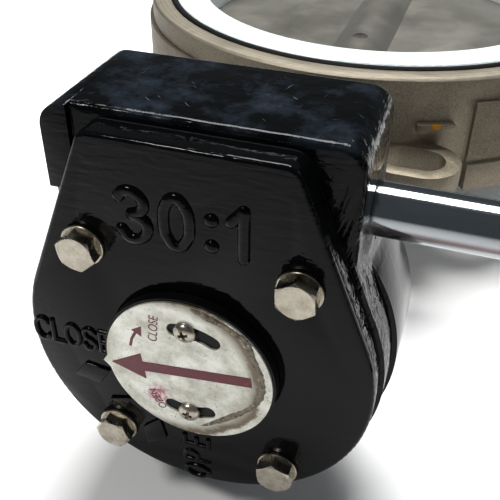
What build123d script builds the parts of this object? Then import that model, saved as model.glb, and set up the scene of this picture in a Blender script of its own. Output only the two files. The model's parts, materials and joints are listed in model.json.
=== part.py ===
from build123d import *
import math
import os

os.makedirs("parts", exist_ok=True)

# Worm-gear operated wafer butterfly valve, millimetres.
# The flow axis is Z and the stem axis is Y. The origin is where they cross, at the middle of the disc.
# "Reach" is the distance from the origin along the stem towards the gearbox, which is -Y.

# Wafer body
half_face = 34.0          # half of the face-to-face length
bore_radius = 123.0       # waterway inside the liner
body_radius = 160.0
seat_radius = 147.5       # bore of the casting that holds the liner
pad_radius = 162.5        # raised casting pad round the body
pad_low = -17.0
pad_high = 20.0
band_radius = 165.0       # thicker band at the outlet side
pad_gap_angle = 30.0      # the pad and band stop this far from the stem axis
edge_break = 1.2
neck_radius = 31.0
flange_radius = 62.0
flange_thickness = 16.0
flange_hole_circle = 51.0
foot_radius = 31.0
foot_reach = 192.0
lower_stem_setback = 2.0
bush_setback = 4.0

# Guide ears for the pipe bolts
ear_x = 53.0
ear_y = 167.0
ear_slot_half = 6.0
ear_hole_radius = 12.0
ear_wall = 8.5
ear_top = -5.0
ear_thickness = 13.0
ledge_top = 9.0
ledge_radius = 164.5
ledge_thickness = 4.4
ledge_start = 18.5        # angles from the stem axis
ledge_end = 26.0

# Liner
liner_wall = 8.0
liner_lip_radius = 143.8
liner_shoulder = 30.0
liner_proud = 1.2
backing_drop = 0.8        # the backing ring stops this far below the faces

# Disc and stems
disc_gap = 0.3
disc_half_centre = 11.0
disc_half_edge = 5.0
disc_flat_radius = 62.0
disc_hub_radius = 21.0
stem_radius = 14.0
stem_in_disc = 32.0
pin_radius = 5.0
pin_reach = 62.0
pin_recess = 0.9
running_fit = 0.05
moving_gap = 0.3
bush_radius = 18.0
packing_length = 15.0
neck_bush_length = 34.0
cap_thickness = 12.0
cap_screw_radius = 3.0
cap_head_radius = 5.0
cap_head_height = 6.0
cap_hole_circle = 24.5

# Gearbox
cover_front = 357.0       # reach of the cover's front face
cover_thickness = 10.0
gasket_thickness = 1.0
cover_radius = 66.5
cover_top_half = 37.5
cover_top = 88.3
cover_corner = 6.0
cover_edge = 1.6
casing_back = 297.5
casing_radius = 70.0
casing_lip = 1.6          # how far the joint flange stands out round the cover
casing_lip_depth = 15.0
casing_floor = 12.0
hub_setback = 1.0
stop_pad_root = 6.0
cavity_radius = 49.5
box_half_width = 53.8
box_top = 91.7
box_bottom = 20.0
box_round = 9.0
box_edge = 2.4
nib_height = 2.5          # a raised nib at the box's left front corner
nib_inner = 43.5
nib_bottom = 60.0

# Worm drive: one start, 30 teeth
module = 3.0
tooth_count = 30
worm_pitch_radius = 12.5
pressure_angle = 20.0
tooth_thinning = 0.45     # taken off each tooth side as backlash
root_clearance = 0.75
worm_turns = 4
worm_half_length = 28.0
worm_collar_radius = 11.0
worm_collar_length = 4.5
thread_sink = 0.6         # how far the thread's root runs into the worm's core
wheel_width = 22.0
wheel_hub_radius = 24.0
wheel_floor_gap = 0.8
sector_teeth = 11
sector_margin = 70.0      # half angle of the toothed sector
key_width = 8.0
key_height = 7.0

# Worm shaft
shaft_radius = 9.5
shaft_worm_radius = 6.0
shaft_journal_radius = 7.5
left_bearing_width = 10.0
right_bearing_width = 9.0
bearing_radius = 16.0
bearing_end_gap = 0.5
chamber_radius = 17.5
seal_start = 39.0
seal_width = 7.0
seal_radius = 14.0
seal_shoulder = 2.0
plug_depth = 10.0
shaft_pin_radius = 2.0

# Handwheel
handwheel_start = 240.0
handwheel_hub_radius = 24.0
handwheel_hub_length = 30.0
handwheel_radius = 150.0
handwheel_rim_radius = 11.0
handwheel_bore = 8.0
spoke_count = 4
spoke_radius = 7.5
nut_washer = 2.5
nut_washer_wall = 5.0
thread_past_nut = 4.0
handwheel_fillet = 2.5
handwheel_pin_recess = 1.0

# Fasteners
m8_radius = 4.0
m8_across_flats = 13.0
m8_head = 5.3
m8_washer_radius = 8.0
m8_washer = 1.6
m8_nut = 6.5
m8_length = 20.0
m10_radius = 5.0
m10_across_flats = 16.0
m10_head = 6.4
m10_washer_radius = 10.0
m10_washer = 2.0
m10_grip = 9.0
m12_radius = 6.0
m12_across_flats = 18.0
m12_nut = 10.0
cover_bolts_high = (38.4, 44.8)
cover_bolts_low = (33.9, -44.8)

# Travel stops
stop_x = 30.0
stop_end = 80.0
stop_pad_radius = 9.5
stop_pad_end = 67.5

# Position indicator
boss_radius = 33.0
boss_height = 4.0
spigot_radius = 24.7
cover_hole_radius = 25.0
lip_seal_radius = 28.5
lip_seal_width = 3.5
plate_radius = 32.0
plate_thickness = 0.8
pointer_length = 2.2
pointer_half_width = 4.0
pointer_angle = 187.0
indicator_screw_circle = 20.0
indicator_screw_radius = 2.5
indicator_head_radius = 4.2
indicator_head = 2.6
plate_slot_width = 5.8
plate_slot_half_angle = 21.0
plate_slot_angles = (89.0, 279.0)
arrow_thickness = 0.2
arrow_tip = 30.6
arrow_head = 13.0
arrow_head_half = 6.2
arrow_shaft_half = 2.2
arrow_tail = 24.4

# Worked out from the sizes above
flange_face = casing_back
cover_back = cover_front - cover_thickness
casing_front = cover_back - gasket_thickness
wheel_pitch_radius = module * tooth_count / 2
wheel_tip_radius = wheel_pitch_radius + module
wheel_root_radius = wheel_pitch_radius - module - root_clearance
worm_tip_radius = worm_pitch_radius + module
worm_root_radius = worm_pitch_radius - module - root_clearance
worm_height = wheel_pitch_radius + worm_pitch_radius
thread_pitch = math.pi * module
half_tooth = thread_pitch / 4 - tooth_thinning
flank = math.tan(math.radians(pressure_angle))
wheel_back = casing_back + casing_floor + wheel_floor_gap
worm_reach = wheel_back + wheel_width / 2
hub_front = casing_front - hub_setback
boss_back = cover_front + moving_gap
boss_front = boss_back + boss_height
plate_front = boss_front + plate_thickness
disc_radius = bore_radius - disc_gap
liner_outer = bore_radius + liner_wall
sector_middle = 45.0
left_bearing_start = -worm_half_length - bearing_end_gap - left_bearing_width
right_bearing_end = worm_half_length + bearing_end_gap + right_bearing_width
hub_end = handwheel_start + handwheel_hub_length
nut_start = hub_end + nut_washer
shaft_end = nut_start + m12_nut + thread_past_nut
stop_tip = (stop_x + m8_radius) * math.tan(math.radians(sector_margin - sector_middle)) + moving_gap
corner_bolts = [(side * cover_bolts_high[0], cover_bolts_high[1]) for side in (-1, 1)]
corner_bolts += [(side * cover_bolts_low[0], cover_bolts_low[1]) for side in (-1, 1)]
flange_bolts = [
    (flange_hole_circle * math.cos(math.radians(turn)), flange_hole_circle * math.sin(math.radians(turn)))
    for turn in (45, 135, 225, 315)
]
indicator_screw_places = [(0, indicator_screw_circle), (0, -indicator_screw_circle)]


def across(reach):
    """Plane square to the stem, seen from the gearbox: X to the right, Z up."""
    return Plane.XZ.offset(reach)


def on_worm(x):
    """Plane square to the worm shaft, centred on it."""
    return Plane(origin=(x, -worm_reach, worm_height), x_dir=(0, 1, 0), z_dir=(1, 0, 0))


def hexagon(across_flats):
    RegularPolygon(across_flats / 2, 6, major_radius=False)


def pear(margin):
    """Outline of the cover, grown by a margin."""
    Circle(cover_radius + margin)
    with Locations(*[(side * (cover_top_half - cover_corner), cover_top - cover_corner) for side in (-1, 1)]):
        Circle(cover_corner + margin)
    make_hull()


def pie(radius, start, end):
    """Sector of a circle between two angles in degrees."""
    with BuildLine() as outline:
        PolarLine((0, 0), radius, start)
        arc = CenterArc((0, 0), radius, start, end - start)
        Line(arc @ 1, (0, 0))
    make_face(outline.edges())


# ---------------------------------------------------------------- wafer body
with BuildPart() as valve_body:
    with BuildSketch(Plane.XY.offset(-half_face)):
        Circle(body_radius)
    extrude(amount=2 * half_face)
    with BuildSketch(Plane.XY.offset(pad_low)):
        Circle(pad_radius)
    extrude(amount=pad_high - pad_low)
    with BuildSketch(Plane.XY.offset(-half_face)):
        Circle(band_radius)
    extrude(amount=pad_low + half_face)
    # The pad and band are left off round both ends of the stem.
    for side in (90, 270):
        with BuildSketch(Plane.XY.offset(-half_face)):
            pie(2 * body_radius, side - pad_gap_angle, side + pad_gap_angle)
            Circle(body_radius, mode=Mode.SUBTRACT)
        extrude(amount=2 * half_face, mode=Mode.SUBTRACT)
    # Neck, gearbox flange and the foot under the lower stem.
    with BuildSketch(across(-foot_reach)):
        Circle(foot_radius)
    extrude(amount=foot_reach)
    with BuildSketch(across(0)):
        Circle(neck_radius)
    extrude(amount=flange_face)
    with BuildSketch(across(flange_face - flange_thickness)):
        Circle(flange_radius)
    extrude(amount=flange_thickness)
    # Ears with slotted holes run into the ring.
    with BuildSketch(Plane.XY.offset(ear_top - ear_thickness)):
        with Locations(*[(sx * ear_x, sy * ear_y) for sx in (-1, 1) for sy in (-1, 1)]):
            SlotCenterToCenter(2 * ear_slot_half, 2 * (ear_hole_radius + ear_wall))
    extrude(amount=ear_thickness)
    # A short ledge on the ring above each ear.
    for side in (90, 270):
        for start, end in ((ledge_start, ledge_end), (-ledge_end, -ledge_start)):
            with BuildSketch(Plane.XY.offset(ledge_top - ledge_thickness)):
                pie(ledge_radius, side + start, side + end)
            extrude(amount=ledge_thickness)
    # Seat for the liner, ear slots, stem bore and flange holes.
    with BuildSketch(Plane.XY.offset(-half_face)):
        Circle(seat_radius)
    extrude(amount=2 * half_face, mode=Mode.SUBTRACT)
    with BuildSketch(Plane.XY.offset(ear_top - ear_thickness)):
        with Locations(*[(sx * ear_x, sy * ear_y) for sx in (-1, 1) for sy in (-1, 1)]):
            SlotCenterToCenter(2 * ear_slot_half, 2 * ear_hole_radius)
    extrude(amount=half_face - ear_top + ear_thickness, mode=Mode.SUBTRACT)
    with BuildSketch(across(-foot_reach)):
        Circle(bush_radius)
    extrude(amount=foot_reach + flange_face, mode=Mode.SUBTRACT)
    with BuildSketch(across(flange_face - flange_thickness)):
        with Locations(*flange_bolts):
            Circle(m10_radius)
    extrude(amount=flange_thickness, mode=Mode.SUBTRACT)
    with BuildSketch(across(-foot_reach)):
        with PolarLocations(cap_hole_circle, 4, start_angle=45):
            Circle(cap_screw_radius)
    extrude(amount=cap_thickness, mode=Mode.SUBTRACT)
    rims = valve_body.edges().filter_by(GeomType.CIRCLE).filter_by_position(Axis.Z, half_face - 0.01, half_face + 0.01)
    chamfer(rims, edge_break)
valve_body.part.label = "valve_body"
export_step(valve_body.part, "parts/valve_body.step")

# ---------------------------------------------------------------- liner and backing ring
with BuildPart() as liner:
    with BuildSketch(Plane.XY.offset(-half_face - liner_proud)):
        Circle(liner_lip_radius)
    extrude(amount=2 * (half_face + liner_proud))
    with BuildSketch(Plane.XY.offset(-liner_shoulder)):
        Circle(liner_lip_radius)
        Circle(liner_outer, mode=Mode.SUBTRACT)
    extrude(amount=2 * liner_shoulder, mode=Mode.SUBTRACT)
    with BuildSketch(Plane.XY.offset(-half_face - liner_proud)):
        Circle(bore_radius)
    extrude(amount=2 * (half_face + liner_proud), mode=Mode.SUBTRACT)
    with BuildSketch(across(-liner_outer)):
        Circle(stem_radius + moving_gap)
    extrude(amount=2 * liner_outer, mode=Mode.SUBTRACT)
    ends = liner.edges().filter_by(GeomType.CIRCLE).group_by(Axis.Z)
    fillet(ends[0] + ends[-1], edge_break)
liner.part.label = "liner"
export_step(liner.part, "parts/liner.step")

with BuildPart() as backing_ring:
    with BuildSketch(Plane.XY.offset(backing_drop - half_face)):
        Circle(seat_radius)
        Circle(liner_lip_radius, mode=Mode.SUBTRACT)
    extrude(amount=2 * (half_face - backing_drop))
    with BuildSketch(Plane.XY.offset(-liner_shoulder)):
        Circle(seat_radius)
        Circle(liner_outer, mode=Mode.SUBTRACT)
    extrude(amount=2 * liner_shoulder)
    with BuildSketch(across(-seat_radius)):
        Circle(stem_radius + moving_gap)
    extrude(amount=2 * seat_radius, mode=Mode.SUBTRACT)
backing_ring.part.label = "backing_ring"
export_step(backing_ring.part, "parts/backing_ring.step")

# ---------------------------------------------------------------- disc, stems and pins
with BuildPart() as disc:
    with BuildSketch(Plane.XZ):
        with BuildLine():
            Polyline(
                (0, -disc_half_centre),
                (disc_flat_radius, -disc_half_centre),
                (disc_radius, -disc_half_edge),
                (disc_radius, disc_half_edge),
                (disc_flat_radius, disc_half_centre),
                (0, disc_half_centre),
                close=True,
            )
        make_face()
    revolve(axis=Axis.Z)
    with BuildSketch(across(-disc_radius)):
        Circle(disc_hub_radius)
    extrude(amount=2 * disc_radius)
    Sphere(disc_radius, mode=Mode.INTERSECT)
    for start in (stem_in_disc, -disc_radius):
        with BuildSketch(across(start)):
            Circle(stem_radius)
        extrude(amount=disc_radius - stem_in_disc, mode=Mode.SUBTRACT)
    with BuildSketch(Plane.XY.offset(-disc_hub_radius)):
        with Locations((0, -pin_reach), (0, pin_reach)):
            Circle(pin_radius)
    extrude(amount=2 * disc_hub_radius, mode=Mode.SUBTRACT)
disc.part.label = "disc"
export_step(disc.part, "parts/disc.step")

with BuildPart() as stem:
    with BuildSketch(across(stem_in_disc)):
        Circle(stem_radius)
    extrude(amount=hub_front - stem_in_disc)
    chamfer(stem.faces().sort_by(Axis.Y)[0].edges(), edge_break)
    with BuildSketch(Plane.XY.offset(-stem_radius)):
        with Locations((0, -pin_reach)):
            Circle(pin_radius)
    extrude(amount=2 * stem_radius, mode=Mode.SUBTRACT)
    with BuildSketch(across(wheel_back)):
        with Locations((stem_radius, 0)):
            Rectangle(key_height, key_width)
    extrude(amount=wheel_width, mode=Mode.SUBTRACT)
stem.part.label = "stem"
export_step(stem.part, "parts/stem.step")

with BuildPart() as lower_stem:
    with BuildSketch(across(-foot_reach + lower_stem_setback)):
        Circle(stem_radius)
    extrude(amount=foot_reach - lower_stem_setback - stem_in_disc)
    with BuildSketch(Plane.XY.offset(-stem_radius)):
        with Locations((0, pin_reach)):
            Circle(pin_radius)
    extrude(amount=2 * stem_radius, mode=Mode.SUBTRACT)
lower_stem.part.label = "lower_stem"
export_step(lower_stem.part, "parts/lower_stem.step")

with BuildPart() as disc_pins:
    with BuildSketch(Plane.XY.offset(pin_recess - disc_hub_radius)):
        with Locations((0, -pin_reach), (0, pin_reach)):
            Circle(pin_radius)
    extrude(amount=2 * (disc_hub_radius - pin_recess))
disc_pins.part.label = "disc_pins"
export_step(disc_pins.part, "parts/disc_pins.step")

# ---------------------------------------------------------------- bushes, packing and bottom cap
lower_bush_end = seat_radius + bush_setback
upper_bush_start = seat_radius + bush_setback
packing_start = upper_bush_start + neck_bush_length
top_bush_end = flange_face + casing_floor
bush_runs = (
    (-foot_reach + bush_setback, foot_reach - bush_setback - lower_bush_end),
    (upper_bush_start, neck_bush_length),
    (flange_face - neck_bush_length, top_bush_end - flange_face + neck_bush_length),
)
with BuildPart() as stem_bushes:
    for start, length in bush_runs:
        with BuildSketch(across(start)):
            Circle(bush_radius)
            Circle(stem_radius + running_fit, mode=Mode.SUBTRACT)
        extrude(amount=length)
stem_bushes.part.label = "stem_bushes"
export_step(stem_bushes.part, "parts/stem_bushes.step")

with BuildPart() as stem_packing:
    with BuildSketch(across(packing_start)):
        Circle(bush_radius)
        Circle(stem_radius + running_fit, mode=Mode.SUBTRACT)
    extrude(amount=packing_length)
stem_packing.part.label = "stem_packing"
export_step(stem_packing.part, "parts/stem_packing.step")

with BuildPart() as bottom_cap:
    with BuildSketch(across(-foot_reach - cap_thickness)):
        Circle(foot_radius)
    extrude(amount=cap_thickness)
    with BuildSketch(across(-foot_reach - cap_thickness)):
        with PolarLocations(cap_hole_circle, 4, start_angle=45):
            Circle(cap_screw_radius)
    extrude(amount=cap_thickness, mode=Mode.SUBTRACT)
    chamfer(bottom_cap.faces().sort_by(Axis.Y)[-1].outer_wire().edges(), edge_break)
bottom_cap.part.label = "bottom_cap"
export_step(bottom_cap.part, "parts/bottom_cap.step")

with BuildPart() as cap_screws:
    with BuildSketch(across(-foot_reach - cap_thickness)):
        with PolarLocations(cap_hole_circle, 4, start_angle=45):
            Circle(cap_screw_radius)
    extrude(amount=2 * cap_thickness - 1)
    with BuildSketch(across(-foot_reach - cap_thickness - cap_head_height)):
        with PolarLocations(cap_hole_circle, 4, start_angle=45):
            Circle(cap_head_radius)
    extrude(amount=cap_head_height)
    with BuildSketch(across(-foot_reach - cap_thickness - cap_head_height)):
        with PolarLocations(cap_hole_circle, 4, start_angle=45):
            hexagon(cap_head_radius)
    extrude(amount=cap_head_height / 2, mode=Mode.SUBTRACT)
cap_screws.part.label = "cap_screws"
export_step(cap_screws.part, "parts/cap_screws.step")

# ---------------------------------------------------------------- gearbox casing
box_middle = (box_top + box_bottom) / 2
with BuildPart() as worm_box:
    with BuildSketch(across(casing_back)):
        with Locations((0, box_middle)):
            RectangleRounded(2 * box_half_width, box_top - box_bottom, box_round)
    extrude(amount=casing_front - casing_back)
    fillet(worm_box.faces().sort_by(Axis.Y)[0].edges(), box_edge)
    fillet(worm_box.faces().sort_by(Axis.Y)[-1].edges(), box_edge)

with BuildPart() as casing:
    # Worm box with its nib, round gear housing, and joint flange round the cover.
    add(worm_box.part)
    with BuildSketch(across(casing_front - box_edge)):
        with Locations((0, box_middle)):
            RectangleRounded(2 * box_half_width, box_top - box_bottom, box_round)
        with Locations((-box_half_width, box_top)):
            Rectangle(2 * (box_half_width - nib_inner), 2 * (box_top - nib_bottom), mode=Mode.INTERSECT)
    extrude(amount=box_edge + nib_height)
    with BuildSketch(across(casing_back)):
        Circle(casing_radius)
    extrude(amount=casing_front - casing_back - casing_lip_depth)
    with BuildSketch(across(casing_back)):
        pear(-1)
    extrude(amount=casing_front - casing_back)
    with BuildSketch(across(casing_front - casing_lip_depth)):
        pear(casing_lip)
    extrude(amount=casing_lip_depth)
    with BuildSketch(Plane.XY.offset(-stop_pad_end)):
        with Locations((-stop_x, -worm_reach), (stop_x, -worm_reach)):
            Circle(stop_pad_radius)
    extrude(amount=stop_pad_end - cavity_radius + stop_pad_root)
    # Room for the cover beside the nib.
    with BuildSketch(across(casing_front)):
        pear(moving_gap)
    extrude(amount=cover_front - casing_front, mode=Mode.SUBTRACT)
    # Gear cavity and stem hole.
    with BuildSketch(across(casing_back + casing_floor)):
        Circle(cavity_radius)
    extrude(amount=casing_front - casing_back - casing_floor, mode=Mode.SUBTRACT)
    with BuildSketch(across(casing_back)):
        Circle(bush_radius)
    extrude(amount=casing_floor, mode=Mode.SUBTRACT)
    # Worm chamber, bearing seats, seal seat and shaft outlet.
    for start, end, radius in (
        (-box_half_width, right_bearing_end, bearing_radius),
        (-worm_half_length, worm_half_length, chamber_radius),
        (right_bearing_end, seal_start, seal_radius - seal_shoulder),
        (seal_start, seal_start + seal_width, seal_radius),
        (seal_start + seal_width, box_half_width, shaft_radius + moving_gap),
    ):
        with BuildSketch(on_worm(start)):
            Circle(radius)
        extrude(amount=end - start, mode=Mode.SUBTRACT)
    # Threaded holes.
    with BuildSketch(across(cover_front + m8_washer - m8_length - 1)):
        with Locations(*corner_bolts):
            Circle(m8_radius)
    extrude(amount=m8_length, mode=Mode.SUBTRACT)
    with BuildSketch(across(casing_back)):
        with Locations(*flange_bolts):
            Circle(m10_radius)
    extrude(amount=m10_grip + 1, mode=Mode.SUBTRACT)
    with BuildSketch(Plane.XY.offset(-stop_pad_end)):
        with Locations((-stop_x, -worm_reach), (stop_x, -worm_reach)):
            Circle(m8_radius)
    extrude(amount=stop_pad_end, mode=Mode.SUBTRACT)
casing.part.label = "casing"
export_step(casing.part, "parts/casing.step")

with BuildPart() as cover_gasket:
    with BuildSketch(across(casing_front)):
        pear(0)
        Circle(cavity_radius, mode=Mode.SUBTRACT)
        with Locations(*corner_bolts):
            Circle(m8_radius, mode=Mode.SUBTRACT)
    extrude(amount=gasket_thickness)
cover_gasket.part.label = "cover_gasket"
export_step(cover_gasket.part, "parts/cover_gasket.step")

with BuildPart() as cover:
    with BuildSketch(across(cover_back)):
        pear(0)
    extrude(amount=cover_thickness)
    fillet(cover.faces().sort_by(Axis.Y)[0].edges(), cover_edge)
    with BuildSketch(across(cover_back)):
        Circle(cover_hole_radius)
        with Locations(*corner_bolts):
            Circle(m8_radius)
    extrude(amount=cover_thickness, mode=Mode.SUBTRACT)
    with BuildSketch(across(cover_back + lip_seal_width)):
        Circle(lip_seal_radius)
    extrude(amount=lip_seal_width, mode=Mode.SUBTRACT)
cover.part.label = "cover"
export_step(cover.part, "parts/cover.step")

with BuildPart() as cover_seal:
    with BuildSketch(across(cover_back + lip_seal_width)):
        Circle(lip_seal_radius)
        Circle(spigot_radius + running_fit, mode=Mode.SUBTRACT)
    extrude(amount=lip_seal_width)
cover_seal.part.label = "cover_seal"
export_step(cover_seal.part, "parts/cover_seal.step")

with BuildPart() as cover_washers:
    with BuildSketch(across(cover_front)):
        with Locations(*corner_bolts):
            Circle(m8_washer_radius)
            Circle(m8_radius, mode=Mode.SUBTRACT)
    extrude(amount=m8_washer)
cover_washers.part.label = "cover_washers"
export_step(cover_washers.part, "parts/cover_washers.step")

with BuildPart() as cover_bolts:
    with BuildSketch(across(cover_front + m8_washer - m8_length)):
        with Locations(*corner_bolts):
            Circle(m8_radius)
    extrude(amount=m8_length)
    with BuildSketch(across(cover_front + m8_washer)):
        with Locations(*corner_bolts):
            hexagon(m8_across_flats)
    extrude(amount=m8_head)
cover_bolts.part.label = "cover_bolts"
export_step(cover_bolts.part, "parts/cover_bolts.step")

# ---------------------------------------------------------------- bolts between gearbox and neck
bolt_seat = flange_face - flange_thickness - m10_washer
with BuildPart() as flange_washers:
    with BuildSketch(across(bolt_seat)):
        with Locations(*flange_bolts):
            Circle(m10_washer_radius)
            Circle(m10_radius, mode=Mode.SUBTRACT)
    extrude(amount=m10_washer)
flange_washers.part.label = "flange_washers"
export_step(flange_washers.part, "parts/flange_washers.step")

with BuildPart() as flange_screws:
    with BuildSketch(across(bolt_seat - m10_head)):
        with Locations(*flange_bolts):
            hexagon(m10_across_flats)
    extrude(amount=m10_head)
    with BuildSketch(across(bolt_seat)):
        with Locations(*flange_bolts):
            Circle(m10_radius)
    extrude(amount=m10_washer + flange_thickness + m10_grip)
flange_screws.part.label = "flange_screws"
export_step(flange_screws.part, "parts/flange_screws.step")

# ---------------------------------------------------------------- travel stops
with BuildPart() as stop_screws:
    with BuildSketch(Plane.XY.offset(-stop_end)):
        with Locations((-stop_x, -worm_reach), (stop_x, -worm_reach)):
            Circle(m8_radius)
    extrude(amount=stop_end - stop_tip)
    with BuildSketch(Plane.XY.offset(-stop_end)):
        with Locations((-stop_x, -worm_reach), (stop_x, -worm_reach)):
            hexagon(m8_radius)
    extrude(amount=m8_radius, mode=Mode.SUBTRACT)
stop_screws.part.label = "stop_screws"
export_step(stop_screws.part, "parts/stop_screws.step")

with BuildPart() as stop_nuts:
    with BuildSketch(Plane.XY.offset(-stop_pad_end - m8_nut)):
        with Locations((-stop_x, -worm_reach), (stop_x, -worm_reach)):
            hexagon(m8_across_flats)
            Circle(m8_radius, mode=Mode.SUBTRACT)
    extrude(amount=m8_nut)
stop_nuts.part.label = "stop_nuts"
export_step(stop_nuts.part, "parts/stop_nuts.step")

# ---------------------------------------------------------------- worm wheel sector and key
first_tooth = 90 + 1.5 * 360 / tooth_count
lead_slope = module / 2 / worm_pitch_radius
wheel_twist = math.degrees(wheel_width * lead_slope / wheel_pitch_radius)


def wheel_tooth(turn):
    """Cross-section of one tooth, centred at an angle in degrees."""
    root_half = half_tooth + flank * (wheel_pitch_radius - wheel_root_radius)
    tip_half = half_tooth - flank * module
    corners = ((wheel_root_radius - 2, root_half), (wheel_root_radius, root_half), (wheel_tip_radius, tip_half))
    outline = [(x, y) for x, y in corners] + [(x, -y) for x, y in reversed(corners)]
    with Locations(Location((0, 0), turn)):
        with BuildSketch(mode=Mode.PRIVATE) as section:
            Polygon(*outline, align=None)
        add(section.sketch)


with BuildPart() as worm_wheel:
    with BuildSketch(across(wheel_back)):
        Circle(wheel_hub_radius)
        pie(wheel_root_radius, sector_middle - sector_margin, sector_middle + sector_margin)
    extrude(amount=wheel_width)
    with BuildSketch(across(wheel_back)):
        Circle(wheel_hub_radius)
    extrude(amount=hub_front - wheel_back)
    for number in range(sector_teeth):
        place = first_tooth - number * 360 / tooth_count
        with BuildSketch(across(wheel_back)):
            wheel_tooth(place - wheel_twist / 2)
        with BuildSketch(across(wheel_back + wheel_width)):
            wheel_tooth(place + wheel_twist / 2)
        loft()
    with BuildSketch(across(wheel_back)):
        Circle(stem_radius)
    extrude(amount=hub_front - wheel_back, mode=Mode.SUBTRACT)
    with BuildSketch(across(wheel_back)):
        with Locations((stem_radius, 0)):
            Rectangle(key_height, key_width)
    extrude(amount=wheel_width, mode=Mode.SUBTRACT)
    with BuildSketch(across(wheel_back + wheel_width)):
        with Locations(*indicator_screw_places):
            Circle(indicator_screw_radius)
    extrude(amount=hub_front - wheel_back - wheel_width, mode=Mode.SUBTRACT)
worm_wheel.part.label = "worm_wheel"
export_step(worm_wheel.part, "parts/worm_wheel.step")

with BuildPart() as wheel_key:
    with BuildSketch(across(wheel_back)):
        with Locations((stem_radius, 0)):
            Rectangle(key_height, key_width)
    extrude(amount=wheel_width)
wheel_key.part.label = "wheel_key"
export_step(wheel_key.part, "parts/wheel_key.step")

# ---------------------------------------------------------------- worm, shaft, bearings, seal and plug
# The thread is swept about its own Z axis, then laid along the shaft with its middle over the wheel.
thread_length = worm_turns * thread_pitch
thread_start = Plane(origin=(-thread_length / 2, -worm_reach, worm_height), x_dir=(0, 0, -1), z_dir=(1, 0, 0))
thread_foot = worm_root_radius - thread_sink
thread_foot_half = half_tooth + flank * (worm_pitch_radius - thread_foot)
thread_tip_half = half_tooth - flank * module
with BuildPart() as worm_thread:
    with BuildLine():
        Helix(pitch=thread_pitch, height=thread_length, radius=worm_pitch_radius)
    with BuildSketch(Plane.XZ):
        Polygon(
            (thread_foot, thread_foot_half),
            (worm_tip_radius, thread_tip_half),
            (worm_tip_radius, -thread_tip_half),
            (thread_foot, -thread_foot_half),
            align=None,
        )
    sweep(is_frenet=True)

with BuildPart() as worm:
    with BuildSketch(on_worm(-worm_half_length)):
        Circle(worm_root_radius)
    extrude(amount=2 * worm_half_length)
    for start in (-worm_half_length, worm_half_length - worm_collar_length):
        with BuildSketch(on_worm(start)):
            Circle(worm_collar_radius)
        extrude(amount=worm_collar_length)
    with Locations(thread_start):
        add(worm_thread.part)
    with BuildSketch(on_worm(-worm_half_length)):
        Circle(shaft_worm_radius)
    extrude(amount=2 * worm_half_length, mode=Mode.SUBTRACT)
    with BuildSketch(Plane.XY.offset(worm_height - worm_collar_radius)):
        with Locations((worm_half_length - worm_collar_length / 2, -worm_reach)):
            Circle(shaft_pin_radius)
    extrude(amount=2 * worm_collar_radius, mode=Mode.SUBTRACT)
worm.part.label = "worm"
export_step(worm.part, "parts/worm.step")

shaft_steps = (
    (left_bearing_start, worm_half_length, shaft_worm_radius),
    (worm_half_length, seal_start - 1, shaft_journal_radius),
    (seal_start - 1, handwheel_start, shaft_radius),
    (handwheel_start, nut_start, handwheel_bore),
    (nut_start, shaft_end, m12_radius),
)
key_pin_x = handwheel_start + handwheel_hub_length / 2
with BuildPart() as worm_shaft:
    for start, end, radius in shaft_steps:
        with BuildSketch(on_worm(start)):
            Circle(radius)
        extrude(amount=end - start)
    chamfer(worm_shaft.faces().sort_by(Axis.X)[-1].edges(), edge_break)
    with BuildSketch(Plane.XY.offset(worm_height - handwheel_hub_radius)):
        with Locations((worm_half_length - worm_collar_length / 2, -worm_reach), (key_pin_x, -worm_reach)):
            Circle(shaft_pin_radius)
    extrude(amount=2 * handwheel_hub_radius, mode=Mode.SUBTRACT)
worm_shaft.part.label = "worm_shaft"
export_step(worm_shaft.part, "parts/worm_shaft.step")

with BuildPart() as worm_pin:
    with BuildSketch(Plane.XY.offset(worm_height - worm_collar_radius + 0.5)):
        with Locations((worm_half_length - worm_collar_length / 2, -worm_reach)):
            Circle(shaft_pin_radius)
    extrude(amount=2 * worm_collar_radius - 1)
worm_pin.part.label = "worm_pin"
export_step(worm_pin.part, "parts/worm_pin.step")

bearing_runs = (
    (left_bearing_start, left_bearing_width, shaft_worm_radius),
    (worm_half_length + bearing_end_gap, right_bearing_width, shaft_journal_radius),
)
with BuildPart() as worm_bearings:
    for start, width, bore in bearing_runs:
        with BuildSketch(on_worm(start)):
            Circle(bearing_radius)
            Circle(bore + running_fit, mode=Mode.SUBTRACT)
        extrude(amount=width)
worm_bearings.part.label = "worm_bearings"
export_step(worm_bearings.part, "parts/worm_bearings.step")

with BuildPart() as shaft_seal:
    with BuildSketch(on_worm(seal_start)):
        Circle(seal_radius)
        Circle(shaft_radius + running_fit, mode=Mode.SUBTRACT)
    extrude(amount=seal_width)
shaft_seal.part.label = "shaft_seal"
export_step(shaft_seal.part, "parts/shaft_seal.step")

with BuildPart() as end_plug:
    with BuildSketch(on_worm(-box_half_width)):
        Circle(bearing_radius)
    extrude(amount=plug_depth)
    with BuildSketch(on_worm(-box_half_width)):
        hexagon(bearing_radius)
    extrude(amount=plug_depth / 2, mode=Mode.SUBTRACT)
end_plug.part.label = "end_plug"
export_step(end_plug.part, "parts/end_plug.step")

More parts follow.
